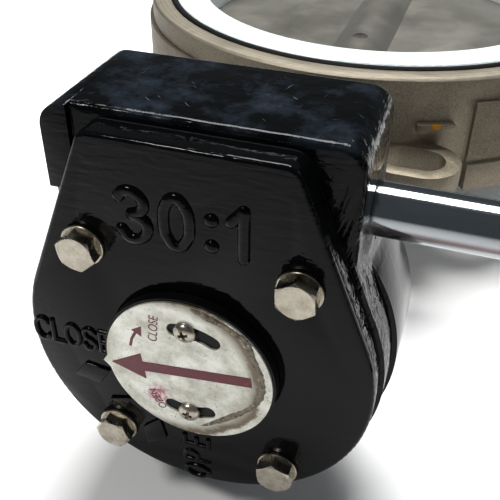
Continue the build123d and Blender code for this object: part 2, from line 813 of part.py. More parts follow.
# ---------------------------------------------------------------- handwheel
rim_radius = handwheel_radius - handwheel_rim_radius
with BuildPart() as handwheel:
    with BuildSketch(on_worm(handwheel_start)):
        Circle(handwheel_hub_radius)
    extrude(amount=handwheel_hub_length)
    fillet(handwheel.edges(), handwheel_fillet)
    with Locations(on_worm(key_pin_x)):
        Torus(rim_radius, handwheel_rim_radius)
    for number in range(spoke_count):
        turn = math.radians(45 + number * 360 / spoke_count)
        spoke_plane = Plane(
            origin=(key_pin_x, -worm_reach, worm_height),
            x_dir=(1, 0, 0),
            z_dir=(0, math.cos(turn), math.sin(turn)),
        )
        with BuildSketch(spoke_plane):
            Circle(spoke_radius)
        extrude(amount=rim_radius)
    with BuildSketch(on_worm(handwheel_start)):
        Circle(handwheel_bore)
    extrude(amount=handwheel_hub_length, mode=Mode.SUBTRACT)
    with BuildSketch(Plane.XY.offset(worm_height - handwheel_hub_radius)):
        with Locations((key_pin_x, -worm_reach)):
            Circle(shaft_pin_radius)
    extrude(amount=2 * handwheel_hub_radius, mode=Mode.SUBTRACT)
handwheel.part.label = "handwheel"
export_step(handwheel.part, "parts/handwheel.step")

with BuildPart() as handwheel_pin:
    with BuildSketch(Plane.XY.offset(worm_height - handwheel_hub_radius + handwheel_pin_recess)):
        with Locations((key_pin_x, -worm_reach)):
            Circle(shaft_pin_radius)
    extrude(amount=2 * (handwheel_hub_radius - handwheel_pin_recess))
handwheel_pin.part.label = "handwheel_pin"
export_step(handwheel_pin.part, "parts/handwheel_pin.step")

with BuildPart() as handwheel_washer:
    with BuildSketch(on_worm(hub_end)):
        Circle(handwheel_bore + nut_washer_wall)
        Circle(handwheel_bore, mode=Mode.SUBTRACT)
    extrude(amount=nut_washer)
handwheel_washer.part.label = "handwheel_washer"
export_step(handwheel_washer.part, "parts/handwheel_washer.step")

with BuildPart() as handwheel_nut:
    with BuildSketch(on_worm(nut_start)):
        hexagon(m12_across_flats)
        Circle(m12_radius, mode=Mode.SUBTRACT)
    extrude(amount=m12_nut)
handwheel_nut.part.label = "handwheel_nut"
export_step(handwheel_nut.part, "parts/handwheel_nut.step")

# ---------------------------------------------------------------- position indicator
with BuildPart() as indicator_boss:
    with BuildSketch(across(hub_front)):
        Circle(spigot_radius)
    extrude(amount=boss_back - hub_front)
    with BuildSketch(across(boss_back)):
        Circle(boss_radius)
    extrude(amount=boss_height)
    with BuildSketch(across(hub_front)):
        with Locations(*indicator_screw_places):
            Circle(indicator_screw_radius)
    extrude(amount=boss_front - hub_front, mode=Mode.SUBTRACT)
indicator_boss.part.label = "indicator_boss"
export_step(indicator_boss.part, "parts/indicator_boss.step")

with BuildPart() as indicator_plate:
    with BuildSketch(across(boss_front)):
        Circle(plate_radius)
        with Locations(Location((0, 0), pointer_angle)):
            Polygon(
                (0, pointer_half_width),
                (plate_radius - 1, pointer_half_width),
                (plate_radius + pointer_length, 0),
                (plate_radius - 1, -pointer_half_width),
                (0, -pointer_half_width),
                align=None,
            )
        for middle in plate_slot_angles:
            SlotArc(
                CenterArc((0, 0), indicator_screw_circle, middle - plate_slot_half_angle, 2 * plate_slot_half_angle),
                plate_slot_width,
                mode=Mode.SUBTRACT,
            )
    extrude(amount=plate_thickness)
indicator_plate.part.label = "indicator_plate"
export_step(indicator_plate.part, "parts/indicator_plate.step")

with BuildPart() as indicator_arrow:
    with BuildSketch(across(plate_front)):
        with Locations(Location((0, 0), pointer_angle)):
            Polygon(
                (-arrow_tail, arrow_shaft_half),
                (arrow_tip - arrow_head, arrow_shaft_half),
                (arrow_tip - arrow_head, arrow_head_half),
                (arrow_tip, 0),
                (arrow_tip - arrow_head, -arrow_head_half),
                (arrow_tip - arrow_head, -arrow_shaft_half),
                (-arrow_tail, -arrow_shaft_half),
                align=None,
            )
    extrude(amount=arrow_thickness)
indicator_arrow.part.label = "indicator_arrow"
export_step(indicator_arrow.part, "parts/indicator_arrow.step")

with BuildPart() as indicator_screws:
    with BuildSketch(across(wheel_back + wheel_width + 1)):
        with Locations(*indicator_screw_places):
            Circle(indicator_screw_radius)
    extrude(amount=plate_front - wheel_back - wheel_width - 1)
    with BuildSketch(across(plate_front)):
        with Locations(*indicator_screw_places):
            Circle(indicator_head_radius)
    extrude(amount=indicator_head)
    fillet(indicator_screws.faces().sort_by(Axis.Y)[:2].edges(), indicator_head / 2)
indicator_screws.part.label = "indicator_screws"
export_step(indicator_screws.part, "parts/indicator_screws.step")
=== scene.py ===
# %% [markdown]
# A wafer butterfly valve with a worm-gear operator.
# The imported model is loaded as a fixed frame, and this script gives it finishes and finer pieces.
# +Z is the flow axis, -Y runs along the stem to the gearbox, and +X along the worm shaft to the handwheel.

# %% Load the frame
import json
import math
import random

import bmesh
import bpy
from mathutils import Matrix, Vector


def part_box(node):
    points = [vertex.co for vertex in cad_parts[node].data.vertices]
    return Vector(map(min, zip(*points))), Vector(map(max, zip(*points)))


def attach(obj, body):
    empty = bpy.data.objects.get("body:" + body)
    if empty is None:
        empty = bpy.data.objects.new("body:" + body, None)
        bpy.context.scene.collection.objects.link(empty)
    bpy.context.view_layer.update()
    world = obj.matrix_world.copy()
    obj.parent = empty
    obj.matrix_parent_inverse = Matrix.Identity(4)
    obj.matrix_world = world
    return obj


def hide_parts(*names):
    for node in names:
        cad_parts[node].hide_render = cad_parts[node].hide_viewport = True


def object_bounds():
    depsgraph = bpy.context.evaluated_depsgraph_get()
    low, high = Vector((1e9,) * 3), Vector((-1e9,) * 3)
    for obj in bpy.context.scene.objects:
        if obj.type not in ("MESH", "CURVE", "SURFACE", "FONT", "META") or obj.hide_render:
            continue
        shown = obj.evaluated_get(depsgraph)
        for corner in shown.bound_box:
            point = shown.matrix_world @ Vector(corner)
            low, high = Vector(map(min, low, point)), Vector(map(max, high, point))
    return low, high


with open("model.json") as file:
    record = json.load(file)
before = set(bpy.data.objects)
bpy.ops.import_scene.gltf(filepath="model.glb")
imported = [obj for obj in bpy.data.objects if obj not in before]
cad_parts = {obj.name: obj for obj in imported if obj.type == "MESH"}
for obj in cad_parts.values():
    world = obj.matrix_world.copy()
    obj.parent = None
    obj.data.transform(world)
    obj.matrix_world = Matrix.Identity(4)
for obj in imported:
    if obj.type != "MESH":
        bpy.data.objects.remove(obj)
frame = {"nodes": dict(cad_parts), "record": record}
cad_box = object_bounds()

MM = 0.001
print("nodes:", len(frame["nodes"]), "box:", cad_box)

# %% [markdown]
# Places that many pieces need are read from the nodes, so they follow the model if it changes.
# The cover's front face is the seat of every washer, and the plate's front face carries the print.

# %% Places read from the frame
COVER_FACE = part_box("cover")[0].y
PLATE_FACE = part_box("indicator_plate")[0].y
WASHER_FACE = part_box("cover_washers")[0].y
SHANK_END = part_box("cover_bolts")[1].y
LINER_PROUD = 1.2 * MM   # how far the liner stands above the body's turned face
BODY_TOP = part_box("liner")[1].z - LINER_PROUD
BOX_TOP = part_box("casing")[1].z
SHAFT_LOW, SHAFT_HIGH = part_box("worm_shaft")
SHAFT_AXIS = (SHAFT_LOW + SHAFT_HIGH) / 2
TO_FRONT = Matrix.Rotation(math.pi / 2, 4, "X")   # a shape built facing +Z then faces -Y
print("cover face", COVER_FACE, "plate face", PLATE_FACE, "box top", BOX_TOP)

# %% [markdown]
# The camera looks down on the gearbox from its front right, close enough for strong perspective.
# It is placed by a point, a heading, a drop and a slight roll, which reads more plainly than a matrix.
# The Standard view transform is set because the default one turns a white floor grey.

# %% Camera
CAMERA_PLACE = Vector((0.0788, -0.5339, 0.1929))
HEADING = math.radians(17.96)
DROP = math.radians(36.26)
ROLL = math.radians(0.69)
FOCAL_LENGTH = 53.14   # millimetres, as is the sensor's width
SENSOR_WIDTH = 36.0
camera_data = bpy.data.cameras.new("camera")
camera_data.sensor_width = SENSOR_WIDTH
camera_data.lens = FOCAL_LENGTH
camera = bpy.data.objects.new("camera", camera_data)
bpy.context.collection.objects.link(camera)
turn = Matrix.Rotation(HEADING, 4, "Z") @ Matrix.Rotation(math.pi / 2 - DROP, 4, "X")
turn = turn @ Matrix.Rotation(ROLL, 4, "Z")
camera.matrix_world = Matrix.Translation(CAMERA_PLACE) @ turn
bpy.context.scene.camera = camera
bpy.context.scene.view_settings.view_transform = "Standard"
print("camera looks along", -(turn.to_3x3().col[2]))

# %% [markdown]
# Every finish is a small tree of nodes. One function adds a node, so that a material reads as a list.
# Hex colours are what the eye sees, and a shader works in linear light, so one function converts them.

# %% Helpers for materials
NOISE, RANGE, MATH = "ShaderNodeTexNoise", "ShaderNodeMapRange", "ShaderNodeMath"
COORDS, MAPPING, AXES = "ShaderNodeTexCoord", "ShaderNodeMapping", "ShaderNodeSeparateXYZ"
MIX, BUMP, SHADER = "ShaderNodeMixRGB", "ShaderNodeBump", "ShaderNodeBsdfPrincipled"
VECTORS, WAVES = "ShaderNodeVectorMath", "ShaderNodeTexWave"
TIMES = {"operation": "MULTIPLY"}


def srgb(code):
    """A hex colour as the linear values that shaders use, by the sRGB standard's curve."""
    parts = [int(code[i:i + 2], 16) / 255 for i in (1, 3, 5)]
    return [c / 12.92 if c <= 0.04045 else ((c + 0.055) / 1.055) ** 2.4 for c in parts] + [1.0]


def per(size):
    """The texture scale that gives marks of this size in millimetres."""
    return 1.0 / (size * MM)


def input_of(node, name):
    """An input by its identifier, such as Value_001, or by its name, with _ for a space."""
    for socket in node.inputs:
        if name in (socket.identifier, socket.name, socket.name.replace(" ", "_")):
            return socket
    return None


def add_node(owner, kind, settings=None, **links):
    """Adds a node to a material or the world, sets its values, and links inputs from (node, output) pairs."""
    tree = owner.node_tree
    node = tree.nodes.new(kind)
    for name, value in (settings or {}).items():
        socket = input_of(node, name)
        if socket is None:
            setattr(node, name, value)
        else:
            socket.default_value = value
    for name, (source, output) in links.items():
        tree.links.new(source.outputs[output], input_of(node, name))
    return node


def new_material(name):
    """An empty material."""
    material = bpy.data.materials.new(name)
    material.use_nodes = True
    material.node_tree.nodes.clear()
    return material


def finish(material, shader):
    """Ends a material with its shader."""
    add_node(material, "ShaderNodeOutputMaterial", Surface=(shader, 0))
    print(material.name, "nodes:", len(material.node_tree.nodes))


print("marks of 1 mm have the texture scale", per(1.0))

# %% [markdown]
# Black gloss enamel, brushed or sprayed thick over a rough casting, as on most gear operators.
# It is deep black, with sharp reflections that waver over the orange peel and the sags below the top edge.
# The flat top of the worm box is what gets rubbed and knocked, so it is hazy, with fine pale scratches, and its
# hazy patches are painted blue grey, partly a painted reflection of the sky.

# %% Enamel: sags below the top edge
enamel = new_material("black_gloss_enamel")
where = add_node(enamel, COORDS)
axes = add_node(enamel, AXES, Vector=(where, "Object"))
sag_place = add_node(enamel, MAPPING, {"Rotation": (0, 0.25, 0), "Scale": (per(9), per(5), per(2.4))},
                     Vector=(where, "Object"))
sags = add_node(enamel, NOISE, {"Scale": 1.0, "Detail": 1.5, "Distortion": 0.5}, Vector=(sag_place, "Vector"))
near_top = add_node(enamel, RANGE, {"From Min": 30 * MM, "From Max": 75 * MM, "To Min": 0.16, "To Max": 1.0},
                    Value=(axes, "Z"))
sag_depth = add_node(enamel, MATH, TIMES, Value=(sags, 0), Value_001=(near_top, 0))
sag_bump = add_node(enamel, BUMP, {"Distance": 0.34 * MM, "Strength": 0.9}, Height=(sag_depth, 0))
print("enamel nodes for the sags:", len(enamel.node_tree.nodes))

# %% Enamel: thick runs along the joint on the shaft's side
run_place = add_node(enamel, MAPPING, {"vector_type": "TEXTURE", "Rotation": (0, 0.3, 0),
                                       "Scale": (2.6 * MM, 3.5 * MM, 17 * MM)}, Vector=(where, "Object"))
runs = add_node(enamel, NOISE, {"Scale": 1.0, "Detail": 2.0, "Distortion": 0.7}, Vector=(run_place, "Vector"))
right_side = add_node(enamel, RANGE, {"From Min": 40 * MM, "From Max": 50 * MM}, Value=(axes, "X"))
past_cover = add_node(enamel, RANGE, {"From Min": COVER_FACE + 2 * MM, "From Max": COVER_FACE + 4 * MM},
                      Value=(axes, "Y"))
before_side = add_node(enamel, RANGE, {"From Min": COVER_FACE + 27 * MM, "From Max": COVER_FACE + 18 * MM},
                       Value=(axes, "Y"))
near_joint = add_node(enamel, MATH, TIMES, Value=(past_cover, 0), Value_001=(before_side, 0))
run_mask = add_node(enamel, MATH, TIMES, Value=(right_side, 0), Value_001=(near_joint, 0))
run_depth = add_node(enamel, MATH, TIMES, Value=(run_mask, 0), Value_001=(runs, 0))
run_bump = add_node(enamel, BUMP, {"Distance": 0.9 * MM, "Strength": 0.8}, Height=(run_depth, 0),
                    Normal=(sag_bump, 0))
print("enamel nodes with the runs:", len(enamel.node_tree.nodes))

# %% Enamel: haze, a painted sky reflection and scratches on the top of the worm box
on_top = add_node(enamel, RANGE, {"From Min": BOX_TOP - 3.2 * MM, "From Max": BOX_TOP - 0.4 * MM},
                  Value=(axes, "Z"))
rubbing = add_node(enamel, NOISE, {"Scale": per(17), "Detail": 7.0, "Roughness": 0.68},
                   Vector=(where, "Object"))
haze = add_node(enamel, RANGE, {"From Min": 0.45, "From Max": 0.8}, Value=(rubbing, 0))
# each set of scratches: its angle, its length and width in millimetres, and where its noise starts to show
# a real scratch is thinner than these, and would be too fine to show
SCRATCHES = ((0.5, 16, 0.4, 0.775), (-0.7, 9, 0.35, 0.78), (1.3, 11, 0.35, 0.785))
SCRATCH_FADE = 0.06
scratched = None
for angle, length, width, start in SCRATCHES:
    place = add_node(enamel, MAPPING, {"vector_type": "TEXTURE", "Rotation": (0, 0, angle),
                                       "Scale": (length * MM, width * MM, 20 * MM)}, Vector=(where, "Object"))
    lines = add_node(enamel, NOISE, {"Scale": 1.0, "Detail": 1.0}, Vector=(place, "Vector"))
    mask = add_node(enamel, RANGE, {"From Min": start, "From Max": start + SCRATCH_FADE}, Value=(lines, 0))
    scratched = mask if scratched is None else add_node(enamel, MATH, {"operation": "MAXIMUM"},
                                                        Value=(scratched, 0), Value_001=(mask, 0))
top_rub_and_reflection = add_node(enamel, MATH, TIMES, Value=(haze, 0), Value_001=(on_top, 0))
top_scratch = add_node(enamel, MATH, TIMES, Value=(scratched, 0), Value_001=(on_top, 0))
print("enamel nodes with the wear:", len(enamel.node_tree.nodes))

# %% Enamel: orange peel, colour and gloss
peel = add_node(enamel, NOISE, {"Scale": per(2.6), "Detail": 2.0}, Vector=(where, "Object"))
peel_bump = add_node(enamel, BUMP, {"Distance": 0.06 * MM, "Strength": 0.9}, Height=(peel, 0),
                     Normal=(run_bump, 0))
# the hazy patches on top are painted blue grey: partly rubbed paint, partly a painted reflection of the sky
rub_and_sky_reflection = add_node(enamel, MIX, {"Color1": srgb("#050607"), "Color2": srgb("#29313b")}, Fac=(top_rub_and_reflection, 0))
worn = add_node(enamel, MIX, {"Color2": srgb("#7b838a")}, Fac=(top_scratch, 0), Color1=(rub_and_sky_reflection, 0))
gloss = add_node(enamel, RANGE, {"To Min": 0.09, "To Max": 0.34}, Value=(top_rub_and_reflection, 0))
finish(enamel, add_node(enamel, SHADER, {"Specular IOR Level": 0.13, "IOR": 1.5}, Base_Color=(worn, 0),
                        Roughness=(gloss, 0), Normal=(peel_bump, 0)))

# %% [markdown]
# Cast stainless steel, blasted and pickled: a warm grey-brown skin with a sandy grain and darker patches.
# The upper face is turned, so its tone is even, with rings round the bore.
# A drip of orange marking paint was left on the ledge beside the ear.

# %% Cast steel: skin, grain and turned face
cast = new_material("blasted_cast_stainless")
where = add_node(cast, COORDS)
axes = add_node(cast, AXES, Vector=(where, "Object"))
patches = add_node(cast, NOISE, {"Scale": per(22), "Detail": 5.0, "Roughness": 0.6}, Vector=(where, "Object"))
# the sandy grain of the mould is drawn a little coarser than it is, so that it shows
grain = add_node(cast, NOISE, {"Scale": per(0.9), "Detail": 2.0}, Vector=(where, "Object"))
skin = add_node(cast, MIX, {"Color1": srgb("#4c4436"), "Color2": srgb("#7a7161")}, Fac=(patches, 0))
grained = add_node(cast, RANGE, {"From Min": 0.3, "From Max": 0.7, "To Min": 0.0, "To Max": 0.35},
                   Value=(grain, 0))
sanded = add_node(cast, MIX, {"Color2": srgb("#a39c8c")}, Fac=(grained, 0), Color1=(skin, 0))
turned_face = add_node(cast, RANGE, {"From Min": BODY_TOP - 1.5 * MM, "From Max": BODY_TOP - 0.9 * MM},
                       Value=(axes, "Z"))
# real turning marks are a fraction of a millimetre apart, too fine to show, so these are far coarser
rings = add_node(cast, WAVES, {"wave_type": "RINGS", "rings_direction": "Z", "Scale": per(9),
                               "Distortion": 0.4}, Vector=(where, "Object"))
ring_shade = add_node(cast, MIX, {"Color1": srgb("#857e6f"), "Color2": srgb("#918a7c")}, Fac=(rings, "Fac"))
tone = add_node(cast, MIX, Fac=(turned_face, 0), Color1=(sanded, 0), Color2=(ring_shade, 0))
print("cast steel nodes so far:", len(cast.node_tree.nodes))

# %% Cast steel: paint drip, bumps and gloss
DRIP_PLACE = (62.0 * MM, -152.2 * MM, 8.8 * MM)
from_drip = add_node(cast, VECTORS, {"operation": "DISTANCE", "Vector_001": DRIP_PLACE},
                     Vector=(where, "Object"))
drip = add_node(cast, RANGE, {"From Min": 3.0 * MM, "From Max": 2.0 * MM}, Value=(from_drip, "Value"))
marked = add_node(cast, MIX, {"Color2": srgb("#a87416")}, Fac=(drip, 0), Color1=(tone, 0))
lumps = add_node(cast, NOISE, {"Scale": per(7), "Detail": 3.0}, Vector=(where, "Object"))
lump_bump = add_node(cast, BUMP, {"Distance": 0.5 * MM, "Strength": 0.8}, Height=(lumps, 0))
grain_bump = add_node(cast, BUMP, {"Distance": 0.14 * MM, "Strength": 0.8}, Height=(grain, 0),
                      Normal=(lump_bump, 0))
rough = add_node(cast, RANGE, {"To Min": 0.42, "To Max": 0.62}, Value=(patches, 0))
finish(cast, add_node(cast, SHADER, {"Metallic": 0.85}, Base_Color=(marked, 0), Roughness=(rough, 0),
                      Normal=(grain_bump, 0)))

# %% [markdown]
# Most other finishes are one surface with a little variation in tone, gloss and grain.
# One function makes them from the real finish's two tones, its gloss range, and its grain in millimetres.

# %% Finishes made one way
SPECK_EDGE = 0.05


def surface(name, tones, metallic, gloss, patch, grain, depth, specks=None, specular=None):
    """A finish whose tone and gloss drift over `patch`, with bumps of `grain` size and `depth`."""
    material = new_material(name)
    where = add_node(material, COORDS)
    drift = add_node(material, NOISE, {"Scale": per(patch), "Detail": 5.0, "Roughness": 0.6},
                     Vector=(where, "Object"))
    spread = add_node(material, RANGE, {"From Min": 0.3, "From Max": 0.7}, Value=(drift, 0))
    color = add_node(material, MIX, {"Color1": srgb(tones[0]), "Color2": srgb(tones[1])}, Fac=(spread, 0))
    if specks:
        size, start, tone = specks
        dirt = add_node(material, NOISE, {"Scale": per(size), "Detail": 3.0, "Roughness": 0.7},
                        Vector=(where, "Object"))
        spots = add_node(material, RANGE, {"From Min": start, "From Max": start + SPECK_EDGE}, Value=(dirt, 0))
        color = add_node(material, MIX, {"Color2": srgb(tone)}, Fac=(spots, 0), Color1=(color, 0))
    rough = add_node(material, RANGE, {"To Min": gloss[0], "To Max": gloss[1]}, Value=(spread, 0))
    fine = add_node(material, NOISE, {"Scale": per(grain), "Detail": 2.0}, Vector=(where, "Object"))
    bump = add_node(material, BUMP, {"Distance": depth * MM, "Strength": 0.8}, Height=(fine, 0))
    settings = {"Metallic": metallic}
    if specular is not None:
        settings["Specular IOR Level"] = specular
    finish(material, add_node(material, SHADER, settings, Base_Color=(color, 0), Roughness=(rough, 0),
                              Normal=(bump, 0)))
    return material


print("specks fade over", SPECK_EDGE, "of their noise")

# %% Liner, rubber and bright metals
# moulded PTFE: bright white and faintly waxy
ptfe = surface("white_ptfe", ("#c6d0d2", "#d6dfe1"), 0.0, (0.28, 0.4), 30, 3.0, 0.01)
# moulded rubber: black and matt
rubber = surface("black_rubber", ("#060606", "#0d0d0d"), 0.0, (0.6, 0.8), 12, 1.0, 0.02, specular=0.15)
# blasted stainless steel: dull grey, with soft highlights and darker spots
disc_steel = surface("blasted_disc_steel", ("#706e65", "#85827a"), 0.8, (0.34, 0.46), 40, 0.9, 0.03,
                     specks=(5, 0.72, "#5f5c53"))
# ground stainless steel: bright, with a soft sheen
ground_steel = surface("ground_stem_steel", ("#a9a7a3", "#bab8b4"), 1.0, (0.2, 0.3), 10, 0.6, 0.004)
# machined bronze: a warm yellow brown
bronze = surface("machined_bronze", ("#9c7842", "#b58d52"), 1.0, (0.25, 0.38), 8, 0.7, 0.01)
# forged stainless steel: bright and warm in tone, with small pits
bolt_steel = surface("forged_stainless_bolt", ("#8f887a", "#bdb6a7"), 1.0, (0.2, 0.36), 5, 0.8, 0.03,
                     specks=(0.7, 0.68, "#6e675a"))
# polished bearing steel: a clean, cool mirror
bearing_steel = surface("bearing_steel", ("#acacae", "#bcbcbe"), 1.0, (0.15, 0.25), 6, 0.6, 0.002)

# %% Thin paints, ink and aged film
# sprayed enamel: glossy black, with a little orange peel
wheel_paint = surface("black_wheel_enamel", ("#090a0c", "#101114"), 0.0, (0.14, 0.26), 18, 2.4, 0.04,
                      specular=0.4)
# thin brushed enamel: a duller black
boss_paint = surface("black_boss_enamel", ("#050506", "#0a0a0b"), 0.0, (0.4, 0.55), 10, 1.2, 0.03,
                     specular=0.2)
# screen-printed ink: dark red, with small worn specks
red_print = surface("red_screen_print", ("#520f1e", "#6e1a2a"), 0.0, (0.35, 0.5), 2.2, 0.5, 0.004,
                    specks=(1.6, 0.69, "#b79a94"))
# old film and glue: brown and uneven, and shiny in places
brown_film = surface("aged_brown_film", ("#3e3525", "#83765f"), 0.0, (0.2, 0.45), 2.0, 0.7, 0.12,
                     specks=(1.2, 0.62, "#c2b79f"))

# %% [markdown]
# Hard chrome on a ground shaft mirrors its surroundings in long stripes, with a few pits.
# A faint reddish-brown stripe along one side of it is a painted reflection.

# %% Hard chrome
chrome = new_material("hard_chrome_shaft")
where = add_node(chrome, COORDS)
axes = add_node(chrome, AXES, Vector=(where, "Object"))
streak_place = add_node(chrome, MAPPING, {"Scale": (per(30), per(1.5), per(1.5))}, Vector=(where, "Object"))
streaks = add_node(chrome, NOISE, {"Scale": 1.0, "Detail": 4.0}, Vector=(streak_place, "Vector"))
# a band just below the shaft's axis is painted reddish brown: a painted reflection
above_edge = add_node(chrome, RANGE, {"From Min": SHAFT_AXIS.z - 4.6 * MM, "From Max": SHAFT_AXIS.z - 3.4 * MM},
                      Value=(axes, "Z"))
below_edge = add_node(chrome, RANGE, {"From Min": SHAFT_AXIS.z - 0.6 * MM, "From Max": SHAFT_AXIS.z - 2.0 * MM},
                      Value=(axes, "Z"))
band = add_node(chrome, MATH, TIMES, Value=(above_edge, 0), Value_001=(below_edge, 0))
reflected_stripe = add_node(chrome, MATH, TIMES, Value=(band, 0), Value_001=(streaks, 0))
shade = add_node(chrome, MIX, {"Color1": srgb("#a3a8ab"), "Color2": srgb("#5e2a26")}, Fac=(reflected_stripe, 0))
pits = add_node(chrome, NOISE, {"Scale": per(0.9), "Detail": 2.0}, Vector=(where, "Object"))
pit_bump = add_node(chrome, BUMP, {"Distance": 0.01 * MM, "Strength": 0.7}, Height=(pits, 0))
chrome_gloss = add_node(chrome, RANGE, {"To Min": 0.05, "To Max": 0.16}, Value=(streaks, 0))
finish(chrome, add_node(chrome, SHADER, {"Metallic": 1.0}, Base_Color=(shade, 0),
                        Roughness=(chrome_gloss, 0), Normal=(pit_bump, 0)))

# %% [markdown]
# The indicator plate is a metal disc under a printed clear film.
# Years outdoors have left specks and smears on it, and glue has browned where the film's edge has lifted.

# %% Plate: smears and specks
plate_finish = new_material("filmed_indicator_plate")
where = add_node(plate_finish, COORDS)
smears = add_node(plate_finish, NOISE, {"Scale": per(9), "Detail": 7.0, "Roughness": 0.65},
                  Vector=(where, "Object"))
pale = add_node(plate_finish, RANGE, {"From Min": 0.36, "From Max": 0.62}, Value=(smears, 0))
film = add_node(plate_finish, MIX, {"Color1": srgb("#bab7a8"), "Color2": srgb("#eeeee4")}, Fac=(pale, 0))
dirt = add_node(plate_finish, NOISE, {"Scale": per(1.3), "Detail": 4.0, "Roughness": 0.75},
                Vector=(where, "Object"))
specks = add_node(plate_finish, RANGE, {"From Min": 0.63, "From Max": 0.68}, Value=(dirt, 0))
dirty = add_node(plate_finish, MIX, {"Color2": srgb("#5b5545")}, Fac=(specks, 0), Color1=(film, 0))
print("plate nodes so far:", len(plate_finish.node_tree.nodes))

# %% Plate: the ring of browned glue, set off to the lower left so that it shows only at the right
GLUE_CENTRE = (-6.0 * MM, PLATE_FACE, 0.5 * MM)
GLUE_WANDER = 9.0 * MM
from_centre = add_node(plate_finish, VECTORS, {"operation": "DISTANCE", "Vector_001": GLUE_CENTRE},
                       Vector=(where, "Object"))
wander = add_node(plate_finish, MATH, {"operation": "MULTIPLY_ADD", "Value_001": GLUE_WANDER},
                  Value=(smears, 0), Value_002=(from_centre, "Value"))
inner = add_node(plate_finish, RANGE, {"From Min": 33.0 * MM, "From Max": 36.5 * MM}, Value=(wander, 0))
outer = add_node(plate_finish, RANGE, {"From Min": 39.5 * MM, "From Max": 38.0 * MM}, Value=(wander, 0))
glue = add_node(plate_finish, MATH, TIMES, Value=(inner, 0), Value_001=(outer, 0))
aged = add_node(plate_finish, MIX, {"Color2": srgb("#6f6450")}, Fac=(glue, 0), Color1=(dirty, 0))
print("plate nodes with the glue:", len(plate_finish.node_tree.nodes))

# %% Plate: the pink blot where a word has smeared, then dents and gloss
BLOT_PLACE = (-12.5 * MM, PLATE_FACE, -15.0 * MM)
from_blot = add_node(plate_finish, VECTORS, {"operation": "DISTANCE", "Vector_001": BLOT_PLACE},
                     Vector=(where, "Object"))
near_blot = add_node(plate_finish, RANGE, {"From Min": 6.5 * MM, "From Max": 2.5 * MM},
                     Value=(from_blot, "Value"))
blotch = add_node(plate_finish, NOISE, {"Scale": per(2.2), "Detail": 5.0, "Roughness": 0.7},
                  Vector=(where, "Object"))
blotchy = add_node(plate_finish, RANGE, {"From Min": 0.4, "From Max": 0.56}, Value=(blotch, 0))
blot = add_node(plate_finish, MATH, TIMES, Value=(near_blot, 0), Value_001=(blotchy, 0))
smeared = add_node(plate_finish, MIX, {"Color2": srgb("#a8536a")}, Fac=(blot, 0), Color1=(aged, 0))
plate_gloss = add_node(plate_finish, RANGE, {"To Min": 0.22, "To Max": 0.42}, Value=(smears, 0))
dents = add_node(plate_finish, BUMP, {"Distance": 0.12 * MM, "Strength": 0.8}, Height=(smears, 0))
finish(plate_finish, add_node(plate_finish, SHADER, {"Metallic": 0.3}, Base_Color=(smeared, 0),
                              Roughness=(plate_gloss, 0), Normal=(dents, 0)))

# %% [markdown]
# Each node has the slot that the record gives its part, and each slot has one finish.
# The handwheel and the indicator's boss are painted black like the castings, but their paint is thinner.

# %% Put the finishes on the CAD nodes
finishes = {
    "cast_stainless": cast, "ptfe": ptfe, "black_rubber": rubber, "disc_steel": disc_steel,
    "stem_steel": ground_steel, "bronze": bronze, "black_paint": enamel, "fastener_steel": bolt_steel,
    "bearing_steel": bearing_steel, "shaft_chrome": chrome, "plate_metal": plate_finish,
    "red_print": red_print,
}
own_finish = {"handwheel": wheel_paint, "indicator_boss": boss_paint}
slot_of = {row["node"]: row["material_slot"] for row in frame["record"]["subparts"]}
for name, node in frame["nodes"].items():
    node.data.materials.clear()
    node.data.materials.append(own_finish.get(name, finishes[slot_of[name]]))
print("finishes:", len(bpy.data.materials))

# %% [markdown]
# Every new piece ends the same way: its bmesh becomes an object that rides on a body and stands for CAD nodes.
# Smooth shading with edges kept sharp past an angle suits both turned and cast shapes.

# %% Helper for new pieces


def add_piece(name, bm, material, body, replaced=(), sharp=35.0):
    """Makes the bmesh a piece of the valve. The bmesh is freed."""
    mesh = bpy.data.meshes.new(name)
    bm.to_mesh(mesh)
    bm.free()
    mesh.shade_smooth()
    mesh.set_sharp_from_angle(angle=math.radians(sharp))
    mesh.materials.append(material)
    piece = bpy.data.objects.new(name, mesh)
    bpy.context.collection.objects.link(piece)
    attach(piece, body)
    if replaced:
        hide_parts(*replaced)
    print(name, "faces:", len(mesh.polygons))


print("CAD nodes:", len(frame["nodes"]), "new pieces so far: 0")

# %% [markdown]
# Sand castings and thick paint have no sharp edges, and a highlight along a soft edge is what shows it.
# The CAD node's triangles are merged and its flat faces joined, and then every sharp edge gets a round bevel.

# %% Softened castings
WELD = 0.003 * MM            # vertices nearer than this are one
FLAT = math.radians(1.0)     # faces that meet flatter than this are joined
CREASE = math.radians(40)    # edges sharper than this are rounded


def softened(node, name, width, steps, material):
    """A copy of a fixed CAD node with its sharp edges rounded, which stands for the node."""
    bm = bmesh.new()
    bm.from_mesh(frame["nodes"][node].data)
    bmesh.ops.remove_doubles(bm, verts=bm.verts, dist=WELD)
    bmesh.ops.dissolve_limit(bm, angle_limit=FLAT, verts=bm.verts, edges=bm.edges)
    sharp = [e for e in bm.edges if len(e.link_faces) == 2 and e.calc_face_angle() > CREASE]
    bmesh.ops.bevel(bm, geom=sharp, offset=width * MM, offset_type="OFFSET", segments=steps, profile=0.5,
                    affect="EDGES", clamp_overlap=True, material=-1)
    add_piece(name, bm, material, "valve", [node])


softened("cover", "cover_casting", 0.9, 3, enamel)
softened("casing", "casing_casting", 0.9, 3, enamel)
softened("valve_body", "body_casting", 0.8, 2, cast)

# %% [markdown]
# A bolt head is forged as a hexagon, and turned in front, so a round face meets six curved chamfers.
# One rim is grown outwards step by step, which gives the face, the chamfers, the flats and the shank.

# %% Helpers for bolts
FACE_SHARE = 0.488     # the turned face's radius, as a share of the width across flats
CHAMFER_SLOPE = 0.55   # how fast the chamfer falls away outside that face


